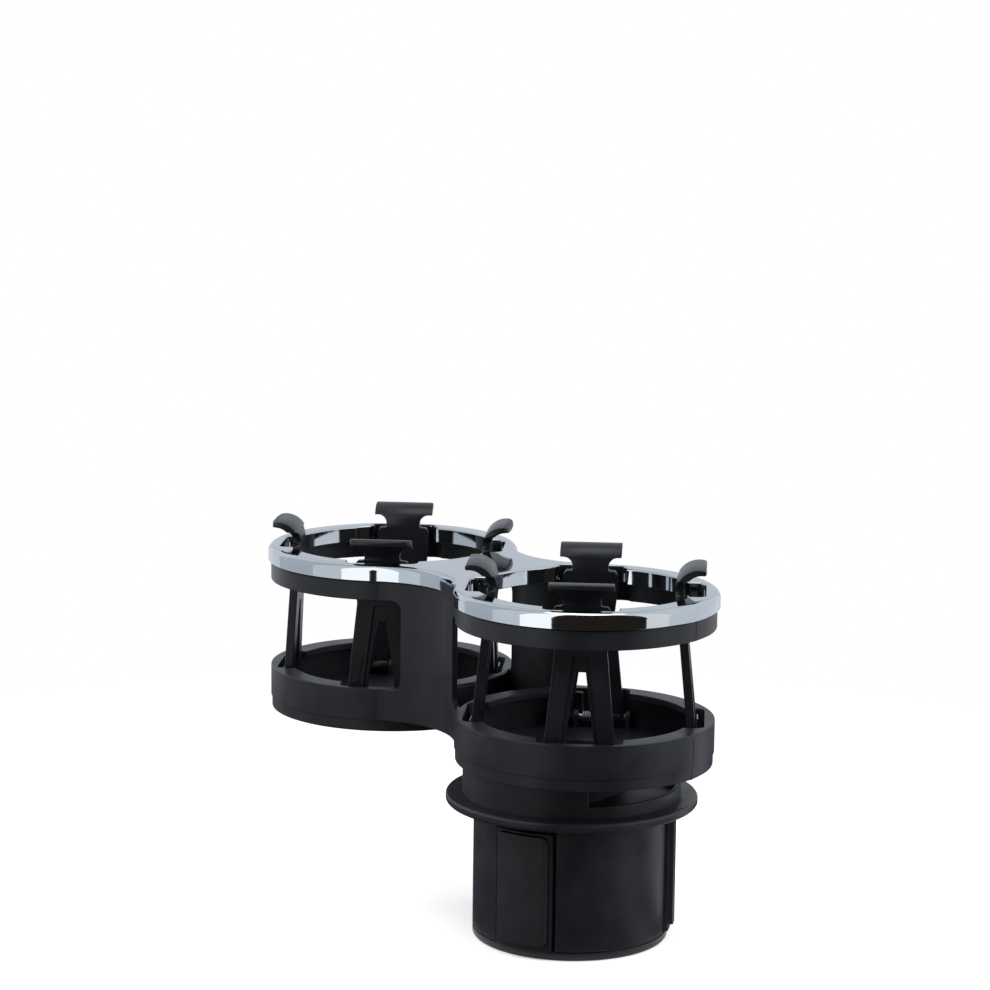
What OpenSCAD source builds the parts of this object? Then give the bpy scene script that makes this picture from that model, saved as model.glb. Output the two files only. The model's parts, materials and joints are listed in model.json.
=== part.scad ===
// Twin cup holder insert for a car console: an expanding plug, a turning ring,
// a swivelling two-cup tray with a bright top trim and eight sprung grip flaps.
// Frame: millimetres, origin at the centre of the plug's bottom face, +Z up,
// +X from the outer cup towards the cup that stands over the plug.

/* [Plug] */
// Radius of the plug body
plug_r = 34; // [30:0.5:38]
// Height of the plug from its foot to just under the flange
plug_h = 47.1; // [40:0.1:60]
// Wall of the plug shell
plug_wall = 2.4; // [1.6:0.1:3.5]
// Thickness of the foot plate
foot_t = 2.9; // [2:0.1:5]
// Groove between the foot plate and the shell
foot_groove = 0.3; // [0.2:0.05:0.6]
// How far the foot screws stand in from the plug's outer face
screw_in = 4.1; // [3.5:0.1:5]
// Radius of the foot screws' heads
screw_head_r = 2.4; // [2:0.1:3]
// Radius of the foot screws' shanks
screw_r = 1; // [0.8:0.05:1.5]
// Radius of the columns the foot screws go into
column_r = 2.4; // [2:0.1:3]
// Thickness of the deck that closes the top of the plug
deck_t = 2.5; // [2:0.1:4]

/* [Jaws] */
// Angle of the first jaw about the plug axis
jaw_a0 = -70.4; // [-180:0.1:180]
// Width of each jaw
jaw_w = 21; // [14:0.5:26]
// Gap between a jaw and the sides of its window
jaw_gap = 0.9; // [0.5:0.1:1.5]
// How far the jaws stand out of the shell as drawn
jaw_out = 1.2; // [0:0.1:4]
// Width of a jaw beside its rubber pad
pad_side = 1; // [0.5:0.1:3]
// Height of a jaw below its rubber pad
pad_low = 1.8; // [0.5:0.1:4]
// Height of a jaw above its rubber pad
pad_high = 0.8; // [0.5:0.1:4]
// How far a pad stands out of its jaw
pad_out = 1.4; // [0.5:0.1:2.5]
// Depth of the pocket that holds the pad
pad_deep = 0.8; // [0.4:0.1:1.2]
// Corner radius of a pad
pad_corner = 2; // [1:0.5:4]
// How far the rib behind a jaw stands in from the shell
rib_in = 2; // [1:0.1:3]
// Distance from that rib to the follower peg
peg_in = 10.6; // [9:0.1:12]
// Radius of the follower peg on each jaw
peg_r = 1.9; // [1.5:0.1:2.5]
// Width of the arms of a jaw
arm_w = 10; // [8:0.5:12]

/* [Turning ring] */
// How far the flange reaches beyond the plug
flange_over = 9.8; // [6:0.1:14]
// Thickness of the flange
flange_t = 3.3; // [2.5:0.1:5]
// Gap between the plug's deck and the flange
flange_gap = 0.3; // [0.2:0.05:0.6]
// Depth of the recess under the flange, over the plug
flange_recess = 0.2; // [0.1:0.05:0.5]
// How far the collar stands in from the flange's edge
collar_in = 5.8; // [4:0.1:9]
// Wall of the collar
collar_wall = 2; // [1.5:0.1:3]
// Height of the low part of the collar above the flange
collar_low = 4.2; // [3:0.1:8]
// Height of the tall part of the collar above the flange
collar_tall = 12.1; // [8:0.1:14]
// Angle where the tall part of the collar ends
collar_a = -33.5; // [-180:0.5:180]
// Sweep of the low part of the collar
collar_sweep = 140; // [60:5:200]
// Travel of a jaw for one degree of turn of the ring
scroll_lead = 0.05585; // [0.04:0.00005:0.08]
// Turn of the ring from the drawn place to jaws fully in
turn_in = -21; // [-30:1:0]
// Turn of the ring from the drawn place to jaws fully out
turn_out = 78; // [40:1:90]
// Thickness of the scroll plate
scroll_t = 3; // [2:0.1:4]
// Gap between the scroll plate and the deck
scroll_gap = 3.3; // [2:0.1:5]
// Width of the scroll plate outside its slots
scroll_edge = 1.94; // [1.5:0.01:3]

/* [Tray] */
// Distance between the two cup centres
pitch = 105.8; // [95:0.1:120]
// How far the inner cup's centre lies from the plug axis
inner_x = 5.9; // [0:0.1:12]
// Outer radius of the tray wall and of the top band
wall_r = 44.9; // [40:0.1:50]
// How far the cup pots stand in from the tray wall
pot_in = 0.4; // [0.2:0.1:2]
// Gap between the collar and the pots
tray_gap = 0.4; // [0.3:0.1:1]
// Height of the pots
pot_h = 15.6; // [12:0.1:24]
// Height of the waist's lower edge above the pots' underside
waist_up = 4; // [2:0.1:8]
// Height of the windows between the pots and the top band
window_h = 32.1; // [20:0.1:44]
// Height of the top band
band_h = 6.6; // [4:0.1:10]
// Half width of the tray at its waist
waist_w = 24.2; // [18:0.1:34]
// Half length of the solid web between the cups
web_half = 14.4; // [8:0.1:22]
// Wall of the tray
tray_wall = 2.4; // [1.8:0.1:3.2]
// Width of the top ring from the tray wall to the cup openings
ring_w = 7.5; // [6:0.1:10]
// Distance from the tray wall to the flap pockets' outer side
pocket_in = 3.7; // [3:0.1:5]
// Half width of a flap pocket in the top ring
pocket_w = 13; // [11:0.1:16]
// Gap beside a flap's legs in the pot rim
pot_pocket_gap = 1.8; // [1:0.1:3]
// How far inside the cups' circles the waist curves meet them
curve_step = 0.05; // [0.02:0.01:0.2]
// Thickness of the pot rims
rim_t = 2.4; // [1.8:0.1:3.5]

/* [Trim] */
// Gap between the top band and the bright trim
trim_line = 0.4; // [0.2:0.1:1]
// Height of the bright trim
trim_h = 5.8; // [4:0.1:9]
// How far the trim stands out beyond the tray wall
trim_over = 1; // [0.5:0.1:2]
// Radius of the trim's rounded outer edge
trim_round = 2.5; // [1:0.1:3]
// Thickness of the trim's flat top
trim_t = 1.8; // [1.2:0.1:2.4]
// Thickness of the trim's lip around the cup openings
trim_lip = 1.4; // [0.8:0.1:1.5]
// How far the tray's ring under the trim is set in
trim_inset = 0.8; // [0.5:0.1:1.2]
// Clearance between the trim and the tray's ring
trim_gap = 0.05; // [0.02:0.01:0.2]

/* [Flaps] */
// Distance from a pot's inner wall to the flaps' hinge pins
hinge_in = 4.4; // [3.8:0.1:6]
// Height of the hinge pins above the pots' underside
hinge_up = 6; // [5.5:0.1:9]
// Lean towards the cup of the inner cup's flaps as drawn
inner_lean = 6; // [0:0.5:12]
// Lean towards the cup of the outer cup's flaps as drawn
outer_lean = 3; // [0:0.5:12]
// Thickness of a flap
flap_t = 3; // [2:0.1:4]
// Half width of a flap over its two legs at the bottom
leg_low = 12.7; // [10:0.1:14]
// Half width of a flap where the legs meet
leg_high = 8.8; // [7:0.1:10]
// Half width of a flap's shoulders
shoulder_w = 9.7; // [8:0.1:11]
// Half width of a flap's neck
neck_w = 6.3; // [4:0.1:8]
// Half width of a flap's finger hook
hook_w = 10.9; // [8:0.1:12]
// Height of the shoulders above the top of the trim
shoulder_up = 0; // [-2:0.1:3]
// Height of the hook above the top of the trim
hook_up = 8.2; // [6:0.1:14]
// Outer radius of the hook's bend
hook_r = 8; // [5:0.1:12]
// Thickness of the hook at its top
hook_t = 2; // [1.2:0.1:3]
// Reach of the hook's tip from the hinge line
hook_out = 9.8; // [7:0.1:12]
// Radius of the hook's corners seen from above
hook_round = 2.2; // [0.5:0.1:5]
// Depth of the hook's tongue below its top
hook_deep = 3.5; // [2:0.1:6]
// Radius of the curve from the hook into the neck
scallop_r = 3.2; // [1:0.1:4]
// Distance from the shoulders down to the opening between the legs
fork_down = 22.1; // [16:0.1:30]
// Radius of the hinge pins
pin_r = 1.2; // [1:0.05:1.6]
// Radius of the barrels around the hinge pins
barrel_r = 2.4; // [2:0.1:2.6]
// Running clearance of a hinge pin or of the swivel post
run_gap = 0.05; // [0.01:0.01:0.1]

/* [Swivel] */
// Radius of the post the tray swivels on
post_r = 7; // [5:0.1:9]
// Radius of the washer that holds the tray down
washer_r = 12; // [9:0.5:13]
// Gap around the washer in its well
washer_gap = 1.5; // [0.5:0.1:3]

/* [Hidden] */
$fn = 96;
outer_x = inner_x - pitch;
mid_x = inner_x - pitch / 2;
half = pitch / 2;
screw_at = plug_r - screw_in;
deck_z = plug_h - deck_t;
shell_z = foot_t + foot_groove;
jaw_z = shell_z + 0.2;
window_top = deck_z;
jaw_top = window_top - 0.5;
pad_w = jaw_w - 2 * pad_side;
pad_z = jaw_z + pad_low;
pad_h = jaw_top - pad_high - pad_z;
rib_at = plug_r - plug_wall - rib_in;
peg_at = rib_at - peg_in;
rail_end = rib_at + scroll_lead * turn_in - 0.4;
flange_r = plug_r + flange_over;
flange_z = plug_h + flange_gap;
collar_r = flange_r - collar_in;
collar_z = flange_z + flange_t;
scroll_z = deck_z - scroll_gap - scroll_t;
scroll_r = peg_at + scroll_lead * turn_out + peg_r + scroll_edge;
tube_r = post_r + 5.6;
tube_in = post_r + 3;
pot_r = wall_r - pot_in;
pot_z = collar_z + collar_tall + tray_gap;
rim_z = pot_z + pot_h;
waist_z = pot_z + waist_up;
band_z = rim_z + window_h;
band_top = band_z + band_h;
trim_z = band_top + trim_line;
trim_top = trim_z + trim_h;
trim_r = wall_r + trim_over;
mouth_r = wall_r - ring_w;
pocket_r = wall_r - pocket_in;
pot_pocket_w = leg_low + pot_pocket_gap;
well_r = washer_r + washer_gap;
well_z = pot_z - 5.2;
post_top = well_z + tray_wall + 0.4;
hinge_r = pot_r - tray_wall - hinge_in;
hinge_z = pot_z + hinge_up;
shoulder_h = trim_top - hinge_z + shoulder_up;
hook_h = trim_top - hinge_z + hook_up;
fork_h = shoulder_h - fork_down;
flap_w = 6.7;
barrel_in = 1.2;
lug_t = 2;
lug_gap = 0.4;
lug_in = leg_low - flap_w - lug_gap;
lug_out = leg_low + lug_gap;
pin_half = lug_out + lug_t;
floor_t = tray_wall;
floor_top = pot_z + floor_t;
ring_top = trim_top - trim_t;
// Sub-part to draw

black = [0.13, 0.14, 0.15];
dark = [0.08, 0.08, 0.09];
bright = [0.82, 0.83, 0.85];
steel = [0.62, 0.63, 0.65];

// Plan of two circles of radius r joined by concave curves that leave a waist of half width w
module outline(r, w) {
  rn = r - curve_step;
  fr = (half * half + w * w - rn * rn) / (2 * (rn - w));
  yc = w + fr;
  tx = half * rn / (rn + fr);
  ty = yc * rn / (rn + fr);
  translate([inner_x, 0]) circle(r);
  translate([outer_x, 0]) circle(r);
  difference() {
    translate([mid_x - half + tx, -ty]) square([2 * (half - tx), 2 * ty]);
    for (s = [-1, 1]) translate([mid_x, s * yc]) circle(fr);
  }
}

// Plan of one cup opening with its four flap pockets, all grown by g
module mouth(r, pr, pw, g) {
  circle(r + g);
  for (a = [45:90:315]) rotate(a) {
    translate([20, -pw - g]) square([pr + g - 20 - 3, 2 * (pw + g)]);
    translate([20, -pw - g + 3]) square([pr + g - 20, 2 * (pw + g) - 6]);
    for (s = [-1, 1]) translate([pr + g - 3, s * (pw + g - 3)]) circle(3);
  }
}

module both_mouths(r, pr, pw, g) {
  for (x = [inner_x, outer_x]) translate([x, 0]) mouth(r, pr, pw, g);
}

// Foot plate with the post that the tray swivels on
module foot_plate() {
  color(black) difference() {
    union() {
      rotate_extrude() polygon([
        [0, 0], [plug_r - 0.6, 0], [plug_r, 0.6], [plug_r, foot_t],
        [plug_r - 0.7, foot_t], [plug_r - 0.7, shell_z - 0.02], [0, shell_z - 0.02]
      ]);
      cylinder(r = post_r, h = post_top);
      cylinder(r1 = post_r + 3, r2 = post_r, h = foot_t + 4);
      for (k = [0:2]) rotate(jaw_a0 + 120 * k) for (s = [-1, 1])
        translate([post_r + 5, s * (arm_w / 2 + 1.4) - 1, 0])
          cube([rail_end - post_r - 5, 2, foot_t + 4.2]);
    }
    translate([0, 0, post_top - 14]) cylinder(r = 2.05, h = 20);
    for (k = [0:2]) rotate(jaw_a0 + 60 + 120 * k) translate([screw_at, 0, 0]) {
      translate([0, 0, -1]) cylinder(r = screw_r + 0.3, h = 10);
      translate([0, 0, -1]) cylinder(r = screw_head_r + 0.1, h = 2.6);
    }
  }
}

// Plug shell with its windows, deck and screw columns
module plug_shell() {
  color(black) difference() {
    union() {
      difference() {
        translate([0, 0, shell_z]) cylinder(r = plug_r, h = plug_h - shell_z);
        translate([0, 0, shell_z - 1]) cylinder(r = plug_r - plug_wall, h = deck_z - shell_z + 1);
      }
      for (k = [0:2]) rotate(jaw_a0 + 60 + 120 * k) translate([screw_at, 0, shell_z + 0.4])
        cylinder(r = column_r, h = deck_z - shell_z);
    }
    translate([0, 0, deck_z - 1]) cylinder(r = tube_r + run_gap, h = deck_t + 2);
    for (k = [0:2]) rotate(jaw_a0 + 120 * k) {
      translate([20, -jaw_w / 2 - jaw_gap, shell_z - 1])
        cube([20, jaw_w + 2 * jaw_gap, window_top - shell_z + 1]);
    }
    for (k = [0:2]) rotate(jaw_a0 + 60 + 120 * k) translate([screw_at, 0, shell_z - 1])
      cylinder(r = screw_r + 0.05, h = 16);
  }
}

module foot_screws() {
  color(steel) for (k = [0:2]) rotate(jaw_a0 + 60 + 120 * k) translate([screw_at, 0, 0]) difference() {
    union() {
      translate([0, 0, 0.1]) cylinder(r = screw_head_r, h = 1.4);
      translate([0, 0, 0.1]) cylinder(r = screw_r, h = 14);
    }
    for (r = [0, 90]) rotate(r) translate([-1.3, -0.25, -1]) cube([2.6, 0.5, 1.8]);
  }
}

module swivel_washer() {
  color(steel) translate([0, 0, post_top]) difference() {
    cylinder(r = washer_r, h = 1.2);
    translate([0, 0, -1]) cylinder(r = 2.1, h = 4);
  }
}

module swivel_screw() {
  z = post_top + 1.2;
  color(steel) difference() {
    union() {
      translate([0, 0, z]) rotate_extrude() polygon([[0, 0], [4, 0], [4, 1.4], [3, 2.2], [0, 2.2]]);
      translate([0, 0, z - 13]) cylinder(r = 2, h = 13.5);
    }
    for (r = [0, 90]) rotate(r) translate([-2.2, -0.4, z + 0.9]) cube([4.4, 0.8, 3]);
  }
}

// One jaw, drawn along +X: face plate, foot, back rib and the arm with its follower peg
module jaw(a) {
  color(black) rotate(a) {
    difference() {
      intersection() {
        translate([jaw_out, 0, jaw_z]) cylinder(r = plug_r, h = jaw_top - jaw_z);
        translate([20, -jaw_w / 2, jaw_z]) cube([20, jaw_w, jaw_top - jaw_z]);
      }
      translate([jaw_out, 0, jaw_z - 1]) cylinder(r = plug_r - plug_wall, h = jaw_top + 2);
      intersection() {
        pad_block(0.15);
        difference() {
          translate([jaw_out, 0, 0]) cylinder(r = plug_r + 3, h = plug_h + 13);
          translate([jaw_out, 0, -1]) cylinder(r = plug_r - pad_deep, h = plug_h + 15);
        }
      }
    }
    translate([rib_at, -7.5, jaw_z]) cube([jaw_out + rib_in + 0.1, 15, scroll_z - 0.9 - jaw_z]);
    translate([post_r + 7, -arm_w / 2, jaw_z]) cube([rib_at + 1.4 - post_r - 7, arm_w, 3.6]);
    translate([peg_at - 4, -arm_w / 2, scroll_z - 6]) cube([rib_at + 1.4 - peg_at + 4, arm_w, 5.3]);
    translate([peg_at, 0, scroll_z - 1]) cylinder(r = peg_r, h = scroll_t + 0.7);
  }
}

// Rounded slab that the pad and its pocket are cut from, grown by g
module pad_block(g) {
  c = pad_corner;
  translate([20, 0, 0]) rotate([90, 0, 90]) linear_extrude(plug_r - 10) {
    translate([-pad_w / 2 - g, pad_z + c]) square([pad_w + 2 * g, pad_h - 2 * c]);
    translate([-pad_w / 2 + c, pad_z - g]) square([pad_w - 2 * c, pad_h + 2 * g]);
    for (y = [-1, 1]) for (z = [c, pad_h - c])
      translate([y * (pad_w / 2 - c), pad_z + z]) circle(c + g);
  }
}

module jaw_pad(a) {
  color(dark) rotate(a) intersection() {
    pad_block(0);
    difference() {
      translate([jaw_out, 0, 0]) cylinder(r = plug_r + pad_out, h = plug_h + 13);
      translate([jaw_out, 0, -1]) cylinder(r = plug_r - pad_deep, h = plug_h + 15);
    }
  }
}

module jaw_front() jaw(jaw_a0);
module jaw_front_pad() jaw_pad(jaw_a0);
module jaw_right() jaw(jaw_a0 + 120);
module jaw_right_pad() jaw_pad(jaw_a0 + 120);
module jaw_left() jaw(jaw_a0 + 240);
module jaw_left_pad() jaw_pad(jaw_a0 + 240);

// Flange, collar and drive tube in one moulding
module turning_ring() {
  e = 1.1;
  color(black) difference() {
    union() {
      translate([0, 0, flange_z]) rotate_extrude() {
        polygon([
          [tube_in, flange_recess], [plug_r + 0.6, flange_recess], [plug_r + 0.6, 0],
          [flange_r - e, 0], [flange_r - e, flange_t], [tube_in, flange_t]
        ]);
        translate([flange_r - e, e]) circle(e, $fn = 48);
        translate([flange_r - e, flange_t - e]) circle(e, $fn = 48);
        translate([flange_r - 2 * e, e]) square([2 * e, flange_t - 2 * e]);
      }
      translate([0, 0, collar_z - 0.5]) cylinder(r = collar_r, h = collar_tall + 0.5);
      translate([0, 0, scroll_z]) cylinder(r = tube_r, h = flange_z - scroll_z + 1);
    }
    translate([0, 0, collar_z]) cylinder(r = collar_r - collar_wall, h = 40);
    translate([0, 0, scroll_z - 1]) cylinder(r = tube_in, h = collar_z - scroll_z + 2);
    translate([0, 0, collar_z + collar_low]) rotate(collar_a) rotate_extrude(angle = collar_sweep)
      translate([collar_r - collar_wall - 2, 0]) square([8, 20]);
    for (k = [0:2]) rotate(30 + 120 * k) translate([tube_r - 1.1, -2.1, scroll_z - 1])
      cube([3, 4.2, scroll_t + 1.1]);
  }
}

// Points of one spiral slot's wall at offset g from its centre line
function spiral(g, n) = [for (i = [0:n])
  let (t = turn_in - 2 + (turn_out - turn_in + 4) * i / n, r = peg_at + scroll_lead * t + g)
  [r * cos(-t), r * sin(-t)]];
function turned(p) = [for (i = [len(p) - 1:-1:0]) p[i]];

module scroll_plate() {
  g = peg_r + 0.4;
  n = 48;
  color(dark) translate([0, 0, scroll_z]) difference() {
    union() {
      difference() {
        cylinder(r = scroll_r, h = scroll_t);
        translate([0, 0, -1]) cylinder(r = tube_r, h = scroll_t + 2);
      }
      for (k = [0:2]) rotate(30 + 120 * k) translate([tube_r - 1, -2, 0]) cube([2, 4, scroll_t]);
    }
    for (k = [0:2]) rotate(jaw_a0 + 120 * k) translate([0, 0, -1]) linear_extrude(scroll_t + 2) {
      polygon(concat(spiral(-g, n), turned(spiral(g, n))));
      for (t = [turn_in - 2, turn_out + 2])
        rotate(-t) translate([peg_at + scroll_lead * t, 0]) circle(g);
    }
  }
}

// Cup pot about its own centre: wall, floor, rim and the hinge lugs
module pot() {
  difference() {
    union() {
      translate([0, 0, pot_z]) cylinder(r = pot_r, h = rim_z - pot_z - 0.8);
      translate([0, 0, rim_z - 0.8]) cylinder(r1 = pot_r, r2 = pot_r - 0.8, h = 0.8);
    }
    translate([0, 0, floor_top]) cylinder(r = pot_r - tray_wall, h = rim_z - rim_t - floor_top);
    translate([0, 0, rim_z - rim_t - 1]) linear_extrude(rim_t + 2)
      mouth(mouth_r - 0.4, pocket_r, pot_pocket_w, 0);
  }
  for (a = [45:90:315], s = [-1, 1]) rotate(a) for (y = [lug_in - lug_t / 2, lug_out + lug_t / 2])
    translate([hinge_r, s * y, 0]) lug();
}

// Lug that holds a hinge pin
module lug() {
  rotate([90, 0, 0]) translate([0, 0, -lug_t / 2]) linear_extrude(lug_t) difference() {
    union() {
      translate([0, hinge_z]) circle(2.6);
      translate([-2.6, floor_top - 0.5]) square([5.2, hinge_z - floor_top + 0.5]);
    }
    translate([0, hinge_z]) circle(pin_r + run_gap);
  }
}

// Window between the pots and the top band, with rounded inner corners
module window_cut() {
  c = 3;
  h = band_z - rim_z;
  for (s = [0, 1]) translate([mid_x, 0, 0]) mirror([s, 0, 0]) translate([web_half, 60, rim_z])
    rotate([90, 0, 0]) linear_extrude(120) {
      translate([c, 0]) square([120, h]);
      translate([0, c]) square([20, h - 2 * c]);
      for (z = [c, h - c]) translate([c, z]) circle(c);
    }
}

module tray_body() {
  color(black) difference() {
    union() {
      difference() {
        // walls between the pots and the top band, and the band itself
        union() {
          translate([0, 0, waist_z]) linear_extrude(band_top - waist_z) outline(wall_r, waist_w);
          translate([0, 0, band_top - 1]) linear_extrude(ring_top - band_top + 1)
            outline(wall_r - trim_inset, waist_w - trim_inset);
        }
        translate([0, 0, waist_z + floor_t]) linear_extrude(ring_top - tray_wall - waist_z - floor_t)
          outline(wall_r - tray_wall, waist_w - tray_wall);
        translate([0, 0, 90]) linear_extrude(60)
          both_mouths(mouth_r, pocket_r - 0.4, pocket_w - 0.4, trim_lip + trim_gap);
        window_cut();
        translate([0, 0, waist_z - 1]) for (x = [inner_x, outer_x]) translate([x, 0, 0])
          cylinder(r = pot_r - 1, h = rim_z - waist_z + 1);
      }
      for (x = [inner_x, outer_x]) translate([x, 0, 0]) pot();
      // well for the swivel, with its hub tube
      translate([0, 0, well_z]) cylinder(r = well_r + tray_wall, h = floor_top - well_z);
      translate([0, 0, collar_z + 1.2]) cylinder(r = post_r + 3.6, h = well_z - collar_z);
      ramp_skirt();
    }
    translate([0, 0, well_z + tray_wall]) cylinder(r = well_r, h = 8);
    translate([0, 0, collar_z]) cylinder(r = post_r + run_gap, h = 30);
    seam_lines();
  }
}

// Fine parting lines on the inner cup's side of the tray
module seam_lines() {
  translate([inner_x, 0, 0]) rotate(12.5) {
    translate([wall_r - 0.3, -0.15, band_z - 1]) cube([2, 0.3, band_top - band_z + 2]);
    translate([pot_r - 0.3, -0.15, pot_z - 1]) cube([2, 0.3, rim_z - pot_z - 1]);
  }
}

// Skirt under the tray with a rising end, seen through the gap in the collar
module ramp_skirt() {
  r = collar_r - collar_wall - 0.4;
  low = collar_z + collar_low + 0.4;
  rise = pot_z - low;
  run = 2 * r * sin(21.5);
  difference() {
    translate([0, 0, low]) rotate(collar_a - 70) rotate_extrude(angle = 113)
      translate([r - 2.4, 0]) square([2.4, rise + 0.5]);
    rotate(collar_a + 21.5) translate([20, 0, low + rise / 2]) rotate([atan(rise / run), 0, 0])
      translate([0, -30, -20]) cube([30, 60, 20]);
  }
}

// Bright trim on the top ring
module top_trim() {
  w = waist_w + 1;
  rn = trim_r - curve_step;
  fr = (half * half + w * w - rn * rn) / (2 * (rn - w));
  yc = w + fr;
  tx = half * rn / (rn + fr);
  ty = yc * rn / (rn + fr);
  c = trim_round;
  h = trim_top - trim_z;
  color(bright) difference() {
    union() {
      for (x = [inner_x, outer_x]) translate([x, 0, trim_z]) rotate_extrude() {
        square([trim_r - c, h]);
        square([trim_r, h - c]);
        translate([trim_r - c, h - c]) circle(c);
      }
      translate([mid_x, 0, trim_z]) difference() {
        translate([-(half - tx), -ty, 0]) cube([2 * (half - tx), 2 * ty, h]);
        for (s = [-1, 1]) translate([0, s * yc, 0]) rotate_extrude() difference() {
          translate([0, -1]) square([fr + c, h + 2]);
          translate([fr, -2]) square([c + 1, h + 2 - c]);
          translate([fr + c, h - c]) circle(c);
        }
      }
    }
    translate([0, 0, trim_z - 1]) linear_extrude(20) both_mouths(mouth_r, pocket_r - 0.4, pocket_w - 0.4, 0);
    translate([0, 0, trim_z - 1]) linear_extrude(h - trim_t + 1) difference() {
      outline(wall_r - trim_inset + trim_gap, waist_w - trim_inset + trim_gap);
      both_mouths(mouth_r, pocket_r - 0.4, pocket_w - 0.4, trim_lip);
    }
  }
}

// Side view of a flap, with the hook bent outwards
module flap_side() {
  d = flap_t / 2;
  zc = hook_h - hook_r;
  xi = flap_t + hook_r - hook_t - d;
  nose = hook_out - 0.95;
  up = sqrt(hook_r * hook_r - pow(nose - hook_r + d, 2));
  low = sqrt(pow(hook_r - hook_t, 2) - pow(nose - xi, 2));
  rotate([90, 0, 0]) translate([0, 0, -20]) linear_extrude(40) {
    translate([-d, 0]) square([flap_t, zc + 0.1]);
    difference() {
      translate([hook_r - d, zc]) circle(hook_r);
      translate([xi, zc]) circle(hook_r - hook_t);
      translate([-20, zc - 60]) square([80, 60]);
      translate([nose, zc - 20]) square([20, 60]);
    }
    translate([nose, zc + (up + low) / 2]) circle((up - low) / 2);
  }
}

// Front view of a flap: legs, shoulders, neck and the hook's tongue
module flap_front() {
  low = hook_h - hook_deep;
  r = scallop_r;
  rotate([90, 0, 90]) translate([0, 0, -20]) linear_extrude(60) {
    polygon([
      [-leg_low, 0], [leg_low, 0], [leg_high, fork_h + 6.6], [shoulder_w, fork_h + 14.6],
      [shoulder_w, shoulder_h - 1.7], [shoulder_w - 0.6, shoulder_h - 0.5], [shoulder_w - 1.2, shoulder_h],
      [1.2 - shoulder_w, shoulder_h], [0.6 - shoulder_w, shoulder_h - 0.5], [-shoulder_w, shoulder_h - 1.7],
      [-shoulder_w, fork_h + 14.6], [-leg_high, fork_h + 6.6]
    ]);
    translate([-neck_w, shoulder_h - 1]) square([2 * neck_w, low - shoulder_h + 2]);
    translate([-hook_w, low]) square([2 * hook_w, hook_deep + 4]);
    for (s = [0, 1]) mirror([s, 0]) {
      difference() {
        translate([neck_w - 0.1, low - r]) square([r + 0.1, r + 0.1]);
        translate([neck_w + r, low - r]) circle(r);
      }
      difference() {
        translate([neck_w - 0.1, shoulder_h - 0.1]) square([1.1, 1.1]);
        translate([neck_w + 1, shoulder_h + 1]) circle(1);
      }
    }
  }
}

// Plan of a flap, with the hook's tip curved about the cup's axis
module hook_plan() {
  tip_r = hinge_r + hook_out;
  reach = tip_r - hook_round;
  side = hook_w - hook_round;
  tip_x = sqrt(reach * reach - side * side) - hinge_r;
  clip = side * tip_r / reach;
  translate([0, 0, -10]) linear_extrude(90) {
    translate([-20, -20]) square([25, 40]);
    translate([-20, -hook_w]) square([20 + tip_x, 2 * hook_w]);
    for (s = [-1, 1]) translate([tip_x, s * side]) circle(hook_round);
    difference() {
      translate([-hinge_r, 0]) circle(tip_r);
      for (s = [-1, 1]) translate([-100, s * (clip + 100) - 100]) square([200, 200]);
      translate([-200, -100]) square([200, 200]);
    }
  }
}

// Flap about its hinge: x outwards, y along the pin, z up
module flap() {
  d = flap_t / 2;
  color(black) difference() {
    union() {
      intersection() {
        flap_side();
        flap_front();
        hook_plan();
      }
      for (s = [-1, 1]) translate([0, s * (leg_low - (flap_w + barrel_in) / 2), 0]) rotate([90, 0, 0])
        cylinder(r = barrel_r, h = flap_w - barrel_in, center = true);
    }
    // opening between the legs
    rotate([90, 0, 90]) translate([0, 0, -20]) linear_extrude(60)
      polygon([[-6, -5], [6, -5], [6, 0], [1.7, fork_h], [-1.7, fork_h], [-6, 0]]);
    // recess around it in the outer face
    translate([d - 1.3, 0, 0]) rotate([90, 0, 90]) linear_extrude(10)
      polygon([
        [-7.4, -5], [7.4, -5], [7.4, 0], [2.7, fork_h + 5.6], [-2.7, fork_h + 5.6], [-7.4, 0]
      ]);
    translate([0, -leg_low + 4.1, 8.5]) rotate([0, 90, 0]) translate([0, 0, d - 0.3]) cylinder(r = 1.7, h = 2);
    rotate([90, 0, 0]) cylinder(r = pin_r + run_gap, h = 40, center = true);
  }
}

module place(x, a) {
  translate([x, 0, 0]) rotate(a) translate([hinge_r, 0, hinge_z]) children();
}

module inner_flap_1() place(inner_x, -45) rotate([0, -inner_lean, 0]) flap();
module inner_flap_2() place(inner_x, 45) rotate([0, -inner_lean, 0]) flap();
module inner_flap_3() place(inner_x, 135) rotate([0, -inner_lean, 0]) flap();
module inner_flap_4() place(inner_x, -135) rotate([0, -inner_lean, 0]) flap();
module outer_flap_1() place(outer_x, -45) rotate([0, -outer_lean, 0]) flap();
module outer_flap_2() place(outer_x, 45) rotate([0, -outer_lean, 0]) flap();
module outer_flap_3() place(outer_x, 135) rotate([0, -outer_lean, 0]) flap();
module outer_flap_4() place(outer_x, -135) rotate([0, -outer_lean, 0]) flap();

// Hinge pins of one cup
module pins(x) {
  color(steel) for (a = [45:90:315]) place(x, a) rotate([90, 0, 0])
    cylinder(r = pin_r, h = 2 * pin_half - 0.4, center = true);
}

module inner_pins() pins(inner_x);
module outer_pins() pins(outer_x);

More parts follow.
